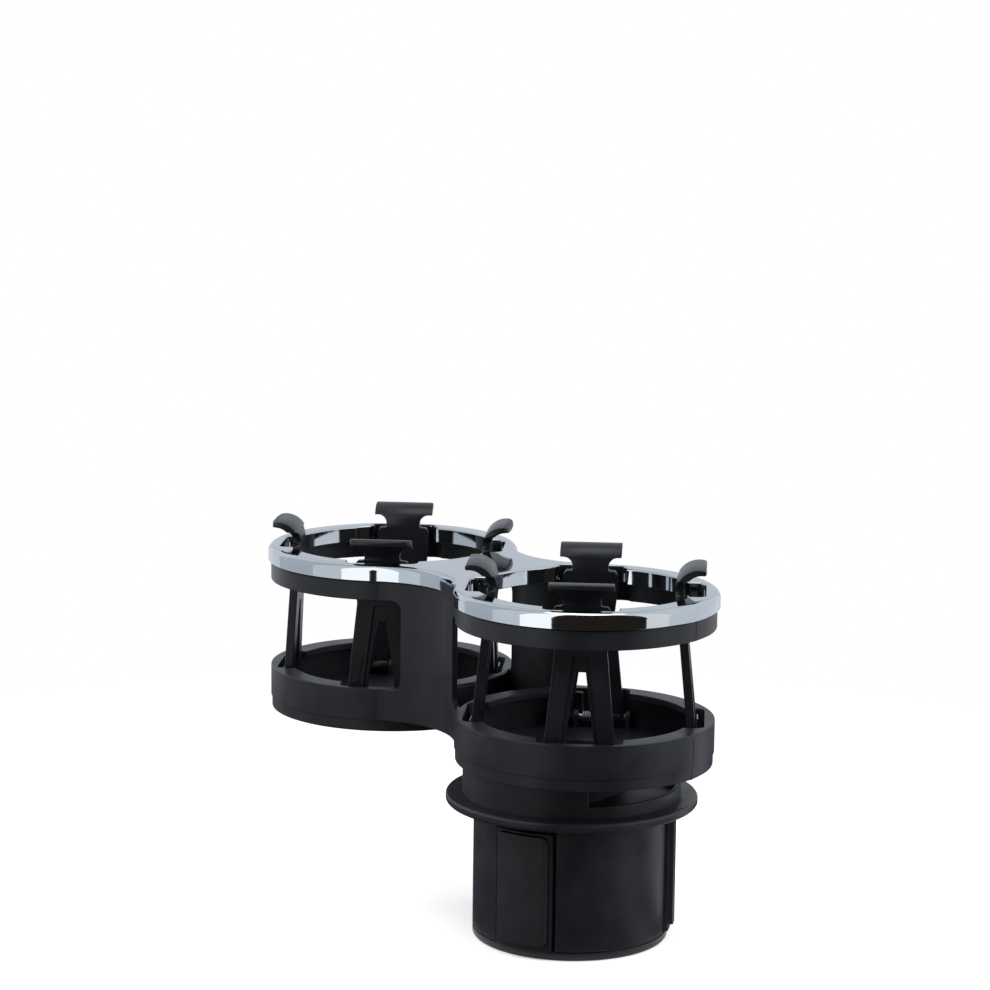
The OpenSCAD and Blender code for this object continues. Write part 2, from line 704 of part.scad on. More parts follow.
// Coil spring on the hinge pin, with an arm across the back of a leg and a tail towards the floor
module spring() {
  w = 0.4;
  cr = pin_r + 0.35 + w;
  color(steel) {
    rotate([90, 0, 0]) translate([0, 0, -2.4]) rotate_extrude() {
      for (i = [0:6]) translate([cr, i * 0.8]) circle(w, $fn = 24);
      translate([cr - 0.15, 0]) square([0.3, 4.8]);
    }
    translate([flap_t / 2 + w + 0.02, 2.4, 0]) cylinder(r = w, h = 11);
    translate([flap_t / 2 + w + 0.02, 2.1, 11]) rotate([-90, 0, 0]) cylinder(r = w, h = 7.2);
    translate([cr, -2.4, -2.6]) cylinder(r = w, h = 2.6);
  }
}

module inner_spring_1() place(inner_x, -45) rotate([0, -inner_lean, 0]) spring();
module inner_spring_2() place(inner_x, 45) rotate([0, -inner_lean, 0]) spring();
module inner_spring_3() place(inner_x, 135) rotate([0, -inner_lean, 0]) spring();
module inner_spring_4() place(inner_x, -135) rotate([0, -inner_lean, 0]) spring();
module outer_spring_1() place(outer_x, -45) rotate([0, -outer_lean, 0]) spring();
module outer_spring_2() place(outer_x, 45) rotate([0, -outer_lean, 0]) spring();
module outer_spring_3() place(outer_x, 135) rotate([0, -outer_lean, 0]) spring();
module outer_spring_4() place(outer_x, -135) rotate([0, -outer_lean, 0]) spring();

foot_plate();
plug_shell();
foot_screws();
swivel_washer();
swivel_screw();
jaw_front();
jaw_front_pad();
jaw_right();
jaw_right_pad();
jaw_left();
jaw_left_pad();
turning_ring();
scroll_plate();
tray_body();
top_trim();
inner_flap_1();
inner_flap_2();
inner_flap_3();
inner_flap_4();
outer_flap_1();
outer_flap_2();
outer_flap_3();
outer_flap_4();
inner_pins();
outer_pins();
inner_spring_1();
inner_spring_2();
inner_spring_3();
inner_spring_4();
outer_spring_1();
outer_spring_2();
outer_spring_3();
outer_spring_4();
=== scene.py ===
import json
import math
import bpy
import bmesh
from mathutils import Matrix, Vector
from mathutils.kdtree import KDTree


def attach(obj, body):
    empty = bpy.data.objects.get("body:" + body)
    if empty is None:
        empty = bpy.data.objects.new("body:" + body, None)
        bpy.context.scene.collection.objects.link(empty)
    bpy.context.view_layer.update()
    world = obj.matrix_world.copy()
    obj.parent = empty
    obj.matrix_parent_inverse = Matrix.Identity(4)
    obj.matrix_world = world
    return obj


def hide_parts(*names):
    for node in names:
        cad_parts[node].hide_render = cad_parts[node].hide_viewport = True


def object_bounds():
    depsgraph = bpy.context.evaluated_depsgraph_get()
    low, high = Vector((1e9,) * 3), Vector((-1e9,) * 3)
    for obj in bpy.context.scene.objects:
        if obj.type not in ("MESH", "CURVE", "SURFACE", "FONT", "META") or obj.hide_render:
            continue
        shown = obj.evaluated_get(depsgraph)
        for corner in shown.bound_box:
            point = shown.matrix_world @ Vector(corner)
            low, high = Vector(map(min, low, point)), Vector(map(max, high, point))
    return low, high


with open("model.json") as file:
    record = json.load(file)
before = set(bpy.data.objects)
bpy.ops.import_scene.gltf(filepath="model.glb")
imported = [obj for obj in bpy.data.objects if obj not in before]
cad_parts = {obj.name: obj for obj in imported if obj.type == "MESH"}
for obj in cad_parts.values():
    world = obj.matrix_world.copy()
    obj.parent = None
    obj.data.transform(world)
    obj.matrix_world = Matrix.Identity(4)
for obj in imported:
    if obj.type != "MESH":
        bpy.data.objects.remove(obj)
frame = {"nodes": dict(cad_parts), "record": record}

mm = 0.001
cadBox = [list(corner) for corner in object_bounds()]


# where the photograph was taken from, worked out from measured edges of the object
camera = {"place": (732.395, -667.032, 315.575), "azimuth": 49.2824, "elevation": 9.2436, "roll": 0.6632,
          "focal": 2934.62, "picture": 990, "sensor": 36, "nearest": 0.05, "farthest": 20}


def makeCamera(look):
    a, e = math.radians(look["azimuth"]), math.radians(look["elevation"])
    back = Vector((math.sin(a) * math.cos(e), -math.cos(a) * math.cos(e), math.sin(e)))
    across = Vector((0, 0, 1)).cross(back).normalized()
    up = back.cross(across)
    turn = Matrix((across, up, back)).transposed() @ Matrix.Rotation(math.radians(look["roll"]), 3, "Z")
    lens = bpy.data.cameras.new("photographCamera")
    lens.sensor_width = look["sensor"]
    lens.lens = look["focal"] / look["picture"] * look["sensor"]
    lens.clip_start, lens.clip_end = look["nearest"], look["farthest"]
    holder = bpy.data.objects.new("photographCamera", lens)
    holder.matrix_world = Matrix.Translation(Vector(look["place"]) * mm) @ turn.to_4x4()
    bpy.context.scene.collection.objects.link(holder)
    bpy.context.scene.camera = holder


makeCamera(camera)
print("camera placed")


def hexColour(code):
    # sRGB hex to the linear values that shaders take
    parts = [int(code[i:i + 2], 16) / 255 for i in (1, 3, 5)]
    return tuple(p / 12.92 if p <= 0.04045 else ((p + 0.055) / 1.055) ** 2.4 for p in parts) + (1,)


def addNode(tree, kind, inputs=None, **settings):
    # one node with its settings, fixed inputs and links
    node = tree.nodes.new(kind)
    for name, value in settings.items():
        setattr(node, name, value)
    for socket, value in (inputs or {}).items():
        if isinstance(value, bpy.types.NodeSocket):
            tree.links.new(value, node.inputs[socket])
        else:
            node.inputs[socket].default_value = value
    return node


def blankMaterial(name):
    material = bpy.data.materials.new(name)
    material.use_nodes = True
    tree = material.node_tree
    tree.nodes.clear()
    return material, tree


def startMaterial(name):
    # an empty material, and the place on the piece that its patterns are drawn by
    material, tree = blankMaterial(name)
    return material, tree, addNode(tree, "ShaderNodeTexCoord").outputs["Object"]


def closeMaterial(tree, shader):
    addNode(tree, "ShaderNodeOutputMaterial", {"Surface": shader.outputs[0]})


def grain(tree, spot, size, detail=2.0):
    # noise whose spots are about size mm across
    return addNode(tree, "ShaderNodeTexNoise",
                   {"Vector": spot, "Scale": 1 / (size * mm), "Detail": detail}).outputs["Fac"]


def between(tree, value, low, high):
    # noise keeps mostly to 0.3 to 0.7, which is stretched to low and high
    return addNode(tree, "ShaderNodeMapRange", {0: value, 1: 0.3, 2: 0.7, 3: low, 4: high}).outputs[0]


def shades(tree, value, dark, light):
    mix = addNode(tree, "ShaderNodeMix", {0: between(tree, value, 0, 1)}, data_type="RGBA")
    mix.inputs[6].default_value, mix.inputs[7].default_value = hexColour(dark), hexColour(light)
    return mix.outputs[2]


mouldedLook = {
    # satin black ABS from a polished, finely eroded mould: soft wide highlights, a little blue in the black
    "tray": {"dark": "#111318", "light": "#17191f", "rough": (0.34, 0.42), "grain": 0.45, "depth": 0.010},
    # same plastic, glossier tooling: the flaps show sharper streaks of light
    "flaps": {"dark": "#101216", "light": "#15171c", "rough": (0.28, 0.36), "grain": 0.45, "depth": 0.006},
    # plug and ring, a shade flatter
    "plug": {"dark": "#101217", "light": "#15171d", "rough": (0.36, 0.44), "grain": 0.4, "depth": 0.010},
}


def mouldedAbs(name, look):
    material, tree, spot = startMaterial(name)
    cloud = grain(tree, spot, 9, 3.0)
    fine = grain(tree, spot, look["grain"])
    bump = addNode(tree, "ShaderNodeBump", {"Height": fine, "Distance": look["depth"] * mm, "Strength": 1.0})
    shader = addNode(tree, "ShaderNodeBsdfPrincipled", {
        "Base Color": shades(tree, cloud, look["dark"], look["light"]),
        "Roughness": between(tree, cloud, *look["rough"]),
        "IOR": 1.54, "Specular IOR Level": 0.27, "Normal": bump.outputs[0]})
    closeMaterial(tree, shader)
    return material


def platedAbs(name):
    # bright chromium over ABS: a cool grey mirror with the faint swell of the moulding under it
    material, tree, spot = startMaterial(name)
    swell = grain(tree, spot, 14, 1.0)
    bump = addNode(tree, "ShaderNodeBump", {"Height": swell, "Distance": 0.04 * mm, "Strength": 0.5})
    haze = grain(tree, spot, 2.5, 2.0)
    shader = addNode(tree, "ShaderNodeBsdfPrincipled", {
        "Base Color": shades(tree, grain(tree, spot, 20), "#bac1c8", "#c3c9ce"),
        "Metallic": 1.0, "Roughness": between(tree, haze, 0.04, 0.07), "Normal": bump.outputs[0]})
    closeMaterial(tree, shader)
    return material


def padRubber(name):
    # EPDM rubber: flat black, no clear highlight, a fine sanded grain
    material, tree, spot = startMaterial(name)
    fine = grain(tree, spot, 0.5, 3.0)
    bump = addNode(tree, "ShaderNodeBump", {"Height": fine, "Distance": 0.02 * mm, "Strength": 1.0})
    shader = addNode(tree, "ShaderNodeBsdfPrincipled", {
        "Base Color": shades(tree, grain(tree, spot, 5, 3.0), "#101216", "#15171c"),
        "Roughness": between(tree, fine, 0.52, 0.62), "IOR": 1.5, "Specular IOR Level": 0.3,
        "Normal": bump.outputs[0]})
    closeMaterial(tree, shader)
    return material


def sliderAcetal(name):
    # black acetal: waxy, slides without grease, a softer and broader shine than the ABS
    material, tree, spot = startMaterial(name)
    fine = grain(tree, spot, 0.8, 2.0)
    bump = addNode(tree, "ShaderNodeBump", {"Height": fine, "Distance": 0.008 * mm, "Strength": 1.0})
    shader = addNode(tree, "ShaderNodeBsdfPrincipled", {
        "Base Color": shades(tree, grain(tree, spot, 7, 2.0), "#101114", "#151619"),
        "Roughness": between(tree, fine, 0.42, 0.5), "IOR": 1.48, "Specular IOR Level": 0.3,
        "Normal": bump.outputs[0]})
    closeMaterial(tree, shader)
    return material


def steel(name, dark, light, rough, along):
    # drawn or turned steel: grey metal with fine lines left by the tool
    material, tree, spot = startMaterial(name)
    squeeze = addNode(tree, "ShaderNodeMapping", {"Vector": spot, "Scale": along})
    lines = grain(tree, squeeze.outputs[0], 0.6, 3.0)
    bump = addNode(tree, "ShaderNodeBump", {"Height": lines, "Distance": 0.006 * mm, "Strength": 1.0})
    shader = addNode(tree, "ShaderNodeBsdfPrincipled", {
        "Base Color": shades(tree, lines, dark, light), "Metallic": 1.0,
        "Roughness": between(tree, lines, *rough), "Normal": bump.outputs[0]})
    closeMaterial(tree, shader)
    return material


finish = {
    "tray": mouldedAbs("mouldedAbsTray", mouldedLook["tray"]),
    "flaps": mouldedAbs("mouldedAbsFlaps", mouldedLook["flaps"]),
    "plug": mouldedAbs("mouldedAbsPlug", mouldedLook["plug"]),
    "slider": sliderAcetal("mouldedAcetal"),
    "rubber": padRubber("epdmRubber"),
    "trim": platedAbs("chromePlatedAbs"),
    "zinc": steel("zincPlatedSteel", "#a9adb2", "#c3c7cb", (0.24, 0.34), (1, 1, 6)),
    "spring": steel("drawnSpringSteel", "#8b8e93", "#a3a6ab", (0.2, 0.3), (4, 4, 1)),
}
print("materials made")


def paint(piece, material):
    piece.data.materials.clear()
    piece.data.materials.append(material)


def addPiece(name, mesh, body, material):
    piece = bpy.data.objects.new(name, mesh)
    bpy.context.scene.collection.objects.link(piece)
    paint(piece, material)
    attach(piece, body)
    return piece


# how the copies of the CAD nodes are rounded and shaded, in mm and degrees
rounding = {"merge": 0.001, "level": 0.4, "least": 32.0, "steps": 2,
            # a corner needs this many widths to the next one, looked for within "search" widths and "beyond" mm
            "room": 2.2, "search": 2.4, "beyond": 4,
            # a wall's face stands upright and all its corners lie as far from the axis, to these limits
            "upright": 0.02, "outOfRound": 0.02, "smallest": 5, "facing": 6,
            # a face is flat if it is level or larger than this many square mm
            "levelFace": 0.9999, "flat": 40.0, "toFirm": 48, "toSoft": 38}


def within(one, other, degrees):
    return one.dot(other) > math.cos(math.radians(degrees))


def sharpEdges(bm, least):
    # outward corners that have two faces and are sharp enough to round
    found = []
    for edge in bm.edges:
        if len(edge.link_faces) == 2 and edge.is_convex and edge.calc_face_angle(0) > least:
            found.append(edge)
    return found


def roomy(edges, width):
    # leaves out corners that face another corner closer than the two rounds need
    tree = KDTree(len(edges))
    marks = []
    for i, edge in enumerate(edges):
        a, b = edge.verts[0].co, edge.verts[1].co
        marks.append(((a + b) / 2, (b - a).normalized(), (b - a).length / 2))
        tree.insert(marks[i][0], i)
    tree.balance()
    kept = []
    for i, edge in enumerate(edges):
        middle, along, half = marks[i]
        clear = True
        for _, j, _ in tree.find_range(middle, rounding["search"] * width + rounding["beyond"] * mm):
            if j == i or set(edge.verts) & set(edges[j].verts):
                continue
            other, _, reach = marks[j]
            gap = other - middle
            aside = (gap - along * gap.dot(along)).length
            if 1e-6 < aside < rounding["room"] * width and abs(gap.dot(along)) < half + reach:
                clear = False
                break
        if clear:
            kept.append(edge)
    return kept


# upright axes, in mm, that the round walls turn about: plug, the two cups and the two hollows of the waist
axes = ((0, 0), (5.9, 0), (-99.9, 0), (-47, 57.43), (-47, -57.43))


def wallAxis(face):
    # the axis that this face's corners all lie round, where the face is a narrow strip of a wall
    if abs(face.normal.z) > rounding["upright"]:
        return None
    for x, y in axes:
        away = [Vector((v.co.x - x * mm, v.co.y - y * mm, 0)) for v in face.verts]
        reach = [a.length for a in away]
        if max(reach) - min(reach) > rounding["outOfRound"] * mm or min(reach) < rounding["smallest"] * mm:
            continue
        if all(abs(a.normalized().dot(face.normal)) > math.cos(math.radians(rounding["facing"])) for a in away):
            return x, y
    return None


def trueNormals(bm):
    # flats and round walls keep their true direction at every corner, and the rounds between blend into them
    firm = {}
    for face in bm.faces:
        axis = wallAxis(face)
        level = abs(face.normal.z) > rounding["levelFace"] or face.calc_area() > rounding["flat"] * mm * mm
        for loop in face.loops:
            if axis:
                away = Vector((loop.vert.co.x - axis[0] * mm, loop.vert.co.y - axis[1] * mm, 0)).normalized()
                firm[loop] = away if away.dot(face.normal) > 0 else -away
            elif level:
                firm[loop] = face.normal.copy()
    normals = []
    for face in bm.faces:
        for loop in face.loops:
            if loop in firm:
                normals.append(firm[loop])
                continue
            near = [firm[other] for other in loop.vert.link_loops
                    if other in firm and within(firm[other], face.normal, rounding["toFirm"])]
            if near:
                total = sum(near, Vector((0, 0, 0)))
            else:
                total = Vector((0, 0, 0))
                for other in loop.vert.link_loops:
                    if other not in firm and within(other.face.normal, face.normal, rounding["toSoft"]):
                        total += other.face.normal * other.calc_angle()
            normals.append(total.normalized() if total.length > 1e-6 else face.normal.copy())
    return normals


def finishMesh(bm, mesh):
    bm.normal_update()
    bm.faces.index_update()
    normals = trueNormals(bm)
    bm.to_mesh(mesh)
    bm.free()
    mesh.shade_smooth()
    mesh.normals_split_custom_set(normals)
    return mesh


def roundedMesh(node, width):
    # a copy of the CAD node, merged, with its outward corners rounded as a mould leaves them
    mesh = frame["nodes"][node].data.copy()
    bm = bmesh.new()
    bm.from_mesh(mesh)
    bmesh.ops.remove_doubles(bm, verts=bm.verts[:], dist=rounding["merge"] * mm)
    bmesh.ops.dissolve_limit(bm, angle_limit=math.radians(rounding["level"]), verts=bm.verts[:], edges=bm.edges[:])
    if width:
        edges = roomy(sharpEdges(bm, math.radians(rounding["least"])), width * mm)
        bmesh.ops.bevel(bm, geom=edges, offset=width * mm, offset_type="OFFSET", segments=rounding["steps"],
                        profile=0.5, affect="EDGES", clamp_overlap=False, loop_slide=True)
    return finishMesh(bm, mesh)


def dressNode(node, body, material, width):
    piece = addPiece(node + "_moulded", roundedMesh(node, width), body, material)
    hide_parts(node)


bodyOf = {node: body for body, nodes in frame["record"]["behaviour"]["bodies"].items() for node in nodes}

# which finish, which slot of the record and how wide a corner round, in mm, each plain piece takes
plainPieces = {
    "foot_plate": ("plug", "body_plastic", 0.3), "plug_shell": ("plug", "body_plastic", 0.3),
    "turning_ring": ("plug", "body_plastic", 0.35), "scroll_plate": ("slider", "slider_plastic", 0.0),
    "tray_body": ("tray", "body_plastic", 0.35),
    "foot_screws": ("zinc", "fastener_steel", 0.0), "swivel_washer": ("zinc", "fastener_steel", 0.15),
    "swivel_screw": ("zinc", "fastener_steel", 0.12),
    "inner_pins": ("zinc", "fastener_steel", 0.12), "outer_pins": ("zinc", "fastener_steel", 0.12),
}
for side in ("front", "right", "left"):
    plainPieces["jaw_" + side] = ("slider", "slider_plastic", 0.25)
    plainPieces["jaw_" + side + "_pad"] = ("rubber", "pad_rubber", 0.22)
for cup in ("inner", "outer"):
    for i in range(1, 5):
        plainPieces[f"{cup}_flap_{i}"] = ("flaps", "body_plastic", 0.3)
for node, (kind, slot, width) in plainPieces.items():
    dressNode(node, bodyOf[node], finish[kind], width)
print("moulded pieces dressed")

# bright trim, in mm: its plan is two circles joined by two hollow curves, with two four-lobed openings
trim = {"centres": (5.9, -99.9), "radius": 45.9, "waist": 25.2, "low": 117.9, "high": 123.7, "round": 2.5,
        "edge": 0.25, "skin": 1.8, "seat": 44.15, "seatWaist": 23.45, "lip": 1.4, "lipRound": 0.7,
        "lipFoot": 0.3, "lipBack": 0.2, "mouth": 37.4, "pocket": 40.8, "pocketWidth": 12.6, "pocketCorner": 3.0,
        # how many straight pieces each curve has
        "cupSteps": 150, "neckSteps": 44, "mouthSteps": 28, "cornerSteps": 10, "flatSteps": 8, "sideSteps": 3,
        "roundSteps": 10, "edgeSteps": 3, "lipSteps": 6}


def arc(centre, radius, start, end, count):
    step = (end - start) / count
    return [(centre[0] + radius * math.cos(start + step * i), centre[1] + radius * math.sin(start + step * i))
            for i in range(count)]


def figureEight(radius, waist):
    # the plan's outer line, anticlockwise from the inner cup
    near, far = trim["centres"]
    cups, necks = trim["cupSteps"], trim["neckSteps"]
    half, middle = (near - far) / 2, (near + far) / 2
    neck = (half ** 2 + waist ** 2 - radius ** 2) / (2 * (radius - waist))
    side = waist + neck
    lean = math.atan2(side, half)
    line = arc((near, 0), radius, lean - math.pi, math.pi - lean, cups)
    line += arc((middle, side), neck, -lean, lean - math.pi, necks)
    line += arc((far, 0), radius, lean, 2 * math.pi - lean, cups)
    line += arc((middle, -side), neck, math.pi - lean, lean, necks)
    return line


def cupMouth(centre, grow):
    # one opening's line, grown by grow: a circle with four flat-bottomed pockets
    radius, reach, width = trim["mouth"] + grow, trim["pocket"] + grow, trim["pocketWidth"] + grow
    corner = trim["pocketCorner"] + grow
    inset = trim["pocketCorner"]
    edge = math.sqrt(radius ** 2 - width ** 2)
    wide = math.atan2(width, edge)
    cornerAt = (trim["pocket"] - inset, trim["pocketWidth"] - inset)
    sides, corners, flats = trim["sideSteps"], trim["cornerSteps"], trim["flatSteps"]
    line = []
    for k in range(4):
        turn = math.radians(45 + 90 * k)
        piece = []
        for i in range(sides):
            piece.append((edge + (cornerAt[0] - edge) * i / sides, -width))
        piece += arc((cornerAt[0], -cornerAt[1]), corner, -math.pi / 2, 0, corners)
        for i in range(flats):
            piece.append((reach, -cornerAt[1] + 2 * cornerAt[1] * i / flats))
        piece += arc(cornerAt, corner, 0, math.pi / 2, corners)
        for i in range(sides):
            piece.append((cornerAt[0] + (edge - cornerAt[0]) * i / sides, width))
        piece += arc((0, 0), radius, wide, math.pi / 2 - wide, trim["mouthSteps"])
        for x, y in piece:
            line.append((centre + x * math.cos(turn) - y * math.sin(turn),
                         x * math.sin(turn) + y * math.cos(turn)))
    return line


def addLoop(bm, line, height):
    # one closed row of corners, all at this height
    return [bm.verts.new((x * mm, y * mm, height * mm)) for x, y in line]


def joinLoops(bm, loops):
    # a wall of four-sided faces from each row to the next
    for low, high in zip(loops, loops[1:]):
        for i in range(len(low)):
            j = (i + 1) % len(low)
            bm.faces.new((low[i], low[j], high[j], high[i]))


def fillFlat(bm, loops):
    # closes the flat between an outer row and the openings in it
    edges = []
    for loop in loops:
        for i in range(len(loop)):
            edges.append(bm.edges.get((loop[i], loop[(i + 1) % len(loop)])))
    bmesh.ops.triangle_fill(bm, use_beauty=True, edges=edges)


def trimMesh(look):
    bm = bmesh.new()
    low, high, r, edge = look["low"], look["high"], look["round"], look["edge"]

    def outline(into, height):
        return addLoop(bm, figureEight(look["radius"] - into, look["waist"] - into), height)

    def mouth(centre, grow, height):
        return addLoop(bm, cupMouth(centre, grow), height)

    seat = figureEight(look["seat"], look["seatWaist"])
    outer = [addLoop(bm, seat, high - look["skin"]), addLoop(bm, seat, low)]
    for i in range(look["edgeSteps"] + 1):
        out = edge * (1 - math.cos(math.pi / 2 * i / look["edgeSteps"]))
        outer.append(outline(edge - out, low + edge - math.sqrt(max(0, edge ** 2 - out ** 2))))
    for i in range(look["roundSteps"] + 1):
        t = math.pi / 2 * i / look["roundSteps"]
        outer.append(outline(r * (1 - math.cos(t)), high - r + r * math.sin(t)))
    joinLoops(bm, outer)
    tops, seats = [outer[-1]], [outer[0]]
    c, lip, foot, back = look["lipRound"], look["lip"], look["lipFoot"], look["lipBack"]
    for centre in look["centres"]:
        wall = []
        for i in range(look["lipSteps"] + 1):
            t = math.pi / 2 * i / look["lipSteps"]
            wall.append(mouth(centre, c * (1 - math.sin(t)), high - c * (1 - math.cos(t))))
        for grow, height in ((0, low + foot), (foot, low), (lip - back, low), (lip, low + back),
                             (lip, high - look["skin"])):
            wall.append(mouth(centre, grow, height))
        joinLoops(bm, wall)
        tops.append(wall[0])
        seats.append(wall[-1])
    fillFlat(bm, tops)
    fillFlat(bm, seats)
    bmesh.ops.recalc_face_normals(bm, faces=bm.faces[:])
    return finishMesh(bm, bpy.data.meshes.new("brightTrim"))


trimPiece = addPiece("top_trim_plated", trimMesh(trim), "tray", finish["trim"])
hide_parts("top_trim")
print("bright trim made")

# torsion spring on each hinge pin, in mm: tail, coils and arm are one bent wire
spring = {"wire": 0.38, "coil": 1.95, "turns": 6, "span": 4.8, "tail": 2.6, "arm": 8.2, "reach": 7.2,
          "coilSteps": 40, "wireSteps": 10}
# where the pins stand, in mm and degrees: each cup's centre and lean, and the turns of its four flaps
hinges = {"radius": 37.7, "height": 69.2, "inner": (5.9, 6.0), "outer": (-99.9, 3.0),
          "turns": (-45, 45, 135, -135)}


def springTree():
    # coils, arm and tail are lines that a round profile turns into wire
    tree = bpy.data.node_groups.new("torsionSpring", "GeometryNodeTree")
    face = tree.interface
    face.new_socket("Geometry", in_out="INPUT", socket_type="NodeSocketGeometry")
    for name in ("Wire", "Coil", "Turns", "Span", "Tail", "Arm", "Reach"):
        face.new_socket(name, in_out="INPUT", socket_type="NodeSocketFloat")
    face.new_socket("Place", in_out="INPUT", socket_type="NodeSocketVector")
    face.new_socket("Turn", in_out="INPUT", socket_type="NodeSocketVector")
    face.new_socket("Finish", in_out="INPUT", socket_type="NodeSocketMaterial")
    face.new_socket("Geometry", in_out="OUTPUT", socket_type="NodeSocketGeometry")
    inside = addNode(tree, "NodeGroupInput").outputs

    def work(kind, a, b):
        return addNode(tree, "ShaderNodeMath", {0: a, 1: b}, operation=kind).outputs[0]

    def leg(start, end):
        return addNode(tree, "GeometryNodeCurvePrimitiveLine", {"Start": start, "End": end}).outputs[0]

    def point(x, y, z):
        return addNode(tree, "ShaderNodeCombineXYZ", {"X": x, "Y": y, "Z": z}).outputs[0]

    spiral = addNode(tree, "GeometryNodeCurveSpiral", {
        "Resolution": spring["coilSteps"], "Rotations": inside["Turns"], "Start Radius": inside["Coil"],
        "End Radius": inside["Coil"], "Height": inside["Span"]})
    halfSpan = work("MULTIPLY", inside["Span"], 0.5)
    lowSpan = work("MULTIPLY", inside["Span"], -0.5)
    lay = addNode(tree, "GeometryNodeTransform", {
        "Geometry": spiral.outputs[0], "Rotation": (math.pi / 2, 0, 0), "Translation": point(0.0, halfSpan, 0.0)})
    up = leg(point(inside["Coil"], halfSpan, 0.0), point(inside["Coil"], halfSpan, inside["Arm"]))
    acrossEnd = work("ADD", halfSpan, inside["Reach"])
    over = leg(point(inside["Coil"], halfSpan, inside["Arm"]), point(inside["Coil"], acrossEnd, inside["Arm"]))
    down = leg(point(inside["Coil"], lowSpan, 0.0),
               point(inside["Coil"], lowSpan, work("MULTIPLY", inside["Tail"], -1)))
    wires = addNode(tree, "GeometryNodeJoinGeometry")
    for part in (lay.outputs[0], up, over, down):
        tree.links.new(part, wires.inputs[0])
    ring = addNode(tree, "GeometryNodeCurvePrimitiveCircle", {
        "Resolution": spring["wireSteps"], "Radius": inside["Wire"]})
    skin = addNode(tree, "GeometryNodeCurveToMesh", {
        "Curve": wires.outputs[0], "Profile Curve": ring.outputs[0], "Fill Caps": True})
    smooth = addNode(tree, "GeometryNodeSetShadeSmooth", {"Geometry": skin.outputs[0]})
    placed = addNode(tree, "GeometryNodeTransform", {
        "Geometry": smooth.outputs[0], "Translation": inside["Place"], "Rotation": inside["Turn"]})
    solid = addNode(tree, "GeometryNodeRealizeInstances", {0: placed.outputs[0]})
    covered = addNode(tree, "GeometryNodeSetMaterial", {
        "Geometry": solid.outputs[0], "Material": inside["Finish"]})
    addNode(tree, "NodeGroupOutput", {0: covered.outputs[0]})
    return tree


springNodes = springTree()
socketOf = {item.name: item.identifier for item in springNodes.interface.items_tree if item.in_out == "INPUT"}


def bakeTree(name, tree, values):
    # runs the tree once and keeps its result as a plain mesh
    seed = bpy.data.objects.new(name + "Seed", bpy.data.meshes.new(name + "Seed"))
    bpy.context.scene.collection.objects.link(seed)
    modifier = seed.modifiers.new("makePiece", "NODES")
    modifier.node_group = tree
    for label, value in values.items():
        modifier[socketOf[label]] = value
    bpy.context.view_layer.update()
    graph = bpy.context.evaluated_depsgraph_get()
    mesh = bpy.data.meshes.new_from_object(seed.evaluated_get(graph), preserve_all_data_layers=True, depsgraph=graph)
    seed.modifiers.remove(modifier)
    bpy.data.objects.remove(seed)
    return mesh


for cup in ("inner", "outer"):
    centre, lean = hinges[cup]
    for i, turn in enumerate(hinges["turns"], 1):
        a = math.radians(turn)
        values = {key.capitalize(): spring[key] * mm for key in ("wire", "coil", "span", "tail", "arm", "reach")}
        values["Turns"] = float(spring["turns"])
        values["Finish"] = finish["spring"]
        values["Place"] = ((centre + hinges["radius"] * math.cos(a)) * mm, hinges["radius"] * math.sin(a) * mm,
                           hinges["height"] * mm)
        values["Turn"] = (0.0, -math.radians(lean), a)
        mesh = bakeTree(f"{cup}Spring{i}", springNodes, values)
        piece = addPiece(f"{cup}_spring_{i}_wire", mesh, f"{cup}_grip_{i}", finish["spring"])
        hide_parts(f"{cup}_spring_{i}")
print("springs wound")

# a white table and sweep with soft lamps left and right, in metres and degrees from the camera's side, right is plus
studio = {
    "half": 3.0, "below": 0.02, "world": 0.5, "board": "#e6e6e6", "fill": 0.3,
    "shadow": (0.1, 0.4), "centre": (-0.047, 0, 0.07),
    "lamps": (("leftLamp", (-110, 25), 1.1, 1.0, 15.0), ("rightLamp", (75, 30), 1.1, 1.0, 13.0),
              ("overLamp", (-20, 80), 1.2, 1.3, 9.0)),
    # what the shiny faces see, from one turn to another: a dark table and a dark room behind the camera, bright
    # strips on both sides of it and pale walls; each has its table's colour and glow, then its wall's
    "cards": (("darkRoom", -29, 48, "#2a2d33", 1.0, "#2a2522", 1.0),
              ("leftStrip", -56, -29, "#34373d", 1.0, "#ffffff", 1.7),
              ("rightStrip", 48, 70, "#a9aeb8", 1.0, "#ffffff", 1.1),
              ("leftWall", -84, -56, "#4a4e56", 1.0, "#eef2f6", 1.0),
              ("leftDoor", -124, -84, "#4a4e56", 1.0, "#ccd2da", 1.0),
              ("farLeftWall", -150, -124, "#4a4e56", 1.0, "#eef2f6", 1.0),
              ("rightWall", 70, 96, "#5c616b", 1.0, "#eef2f6", 1.0),
              ("rightBoard", 96, 124, "#f4f8ff", 1.0, "#eef2f6", 1.0),
              ("farRightWall", 124, 150, "#4a4e56", 1.0, "#eef2f6", 1.0),
              ("backWall", 150, 210, "#4a4e56", 1.0, "#d6dbe2", 1.0)),
    "cardInner": 0.037, "cardReach": 0.46, "cardLow": 0.001, "cardHigh": 0.34, "roof": (0.16, 0.62), "cardSteps": 24}


def fromCamera(turn):
    # an angle about the upright axis, counted in degrees from the camera's side
    return math.radians(camera["azimuth"] - 90 + turn)


def seenWhite(tree):
    # 1 for the rays that show the background: the camera's, and those in metal and glass
    path = addNode(tree, "ShaderNodeLightPath").outputs
    seen = addNode(tree, "ShaderNodeMath", {0: path["Is Camera Ray"], 1: path["Is Transmission Ray"]},
                   operation="MAXIMUM").outputs[0]
    return addNode(tree, "ShaderNodeMath", {0: seen, 1: path["Is Glossy Ray"]}, operation="MAXIMUM").outputs[0]


